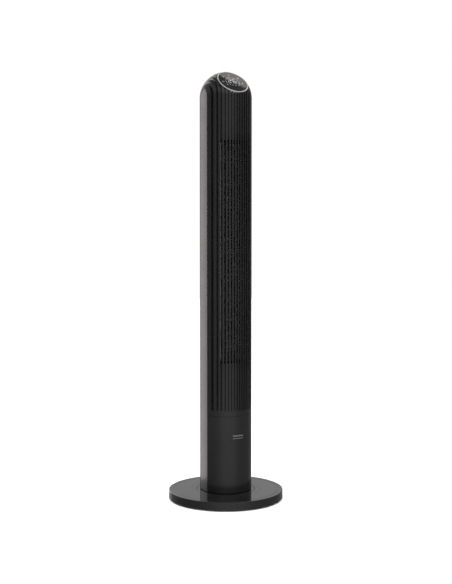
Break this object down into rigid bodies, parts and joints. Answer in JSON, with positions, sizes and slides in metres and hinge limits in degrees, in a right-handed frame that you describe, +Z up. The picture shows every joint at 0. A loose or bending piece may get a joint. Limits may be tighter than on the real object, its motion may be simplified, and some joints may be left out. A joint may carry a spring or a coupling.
{
  "type": "tower fan",
  "caption": "Slim oscillating tower fan: ribbed round-fronted column with flat gloss sides, domed top with a tilted touch dial, and a round base.",
  "frame": {"origin": "centre of the feet on the floor, on the axis that the column swings about", "axes": "+Z up, -Y the way the air blows and the touch panel faces, +X to the viewer's right from the front"},
  "size_m": [0.297, 0.297, 1.1],
  "materials": {
    "foot_rubber": "matt black rubber",
    "base_gloss": "black moulded plastic, polished",
    "body_gloss": "black moulded plastic, semi-gloss",
    "rib_satin": "black moulded plastic, satin",
    "panel_gloss": "black trim panel, polished",
    "inner_black": "matt black moulded plastic",
    "gear_plastic": "natural acetal",
    "screw_steel": "zinc-plated steel",
    "motor_steel": "pressed and ground steel",
    "motor_alloy": "die-cast",
    "bearing_bronze": "sintered bronze",
    "damper_rubber": "soft black rubber",
    "ring_silver": "satin silver",
    "lens_gloss": "smoked black touch surface",
    "badge_silver": "printed silver",
    "board_green": "circuit board laminate",
    "capacitor_case": "white case",
    "lead_black": "insulated lead"
  },
  "bodies": {
    "base": {"rubber_feet": "foot_rubber", "base_bottom_plate": "inner_black", "base_cover": "base_gloss", "base_trim_ring": "base_gloss", "base_screws": "screw_steel", "pivot_hub": "inner_black", "hub_screws": "screw_steel", "fixed_gear": "gear_plastic", "glide_ring": "gear_plastic", "thrust_washer": "gear_plastic", "retaining_ring": "motor_steel", "retaining_screws": "screw_steel"},
    "column": {"swivel_plate": "base_gloss", "swing_motor": "motor_steel", "swing_motor_screws": "screw_steel", "lower_front_cover": "body_gloss", "lower_rear_cover": "body_gloss", "left_side_panel": "panel_gloss", "right_side_panel": "panel_gloss", "front_grille": "rib_satin", "rear_grille": "rib_satin", "housing_screws": "screw_steel", "cord_gland": "inner_black", "badge": "badge_silver", "lower_bulkhead": "inner_black", "upper_bulkhead": "inner_black", "scroll_wall": "inner_black", "tongue_wall": "inner_black", "top_bearing": "bearing_bronze", "top_bearing_mount": "damper_rubber", "motor_stator": "motor_steel", "motor_upper_cap": "motor_alloy", "motor_lower_cap": "motor_alloy", "motor_bearings": "motor_steel", "motor_bolts": "screw_steel", "motor_dampers": "damper_rubber", "motor_mount_screws": "screw_steel", "motor_capacitor": "capacitor_case", "board_tray": "inner_black", "main_board": "board_green", "board_screws": "screw_steel", "neck_screws": "screw_steel", "bezel_ring": "ring_silver", "touch_panel": "lens_gloss", "panel_board": "board_green", "panel_cup": "inner_black", "control_lead": "lead_black", "motor_lead": "lead_black", "swing_lead": "lead_black", "supply_lead": "lead_black"},
    "fan_wheel": {"impeller": "inner_black", "impeller_coupling": "damper_rubber", "impeller_pin": "motor_steel", "motor_rotor": "motor_steel", "motor_shaft": "motor_steel"},
    "pinion": {"swing_pinion": "gear_plastic"}
  },
  "joints": [
    {"name": "column_swing", "type": "hinge", "parent": "base", "child": "column", "pos_m": [0, 0, 0.02], "axis": [0, 0, 1], "range_deg": [-40, 40]},
    {"name": "wheel_spin", "type": "hinge", "parent": "column", "child": "fan_wheel", "pos_m": [-0.013, 0.007, 0.354], "axis": [0, 0, 1], "continuous": true},
    {"name": "pinion_spin", "type": "hinge", "parent": "column", "child": "pinion", "pos_m": [0, 0.036, 0.0095], "axis": [0, 0, 1], "range_deg": [-120, 120]}
  ],
  "couplings": [
    {"joint": "pinion_spin", "follows": "column_swing", "ratio": 3}
  ]
}
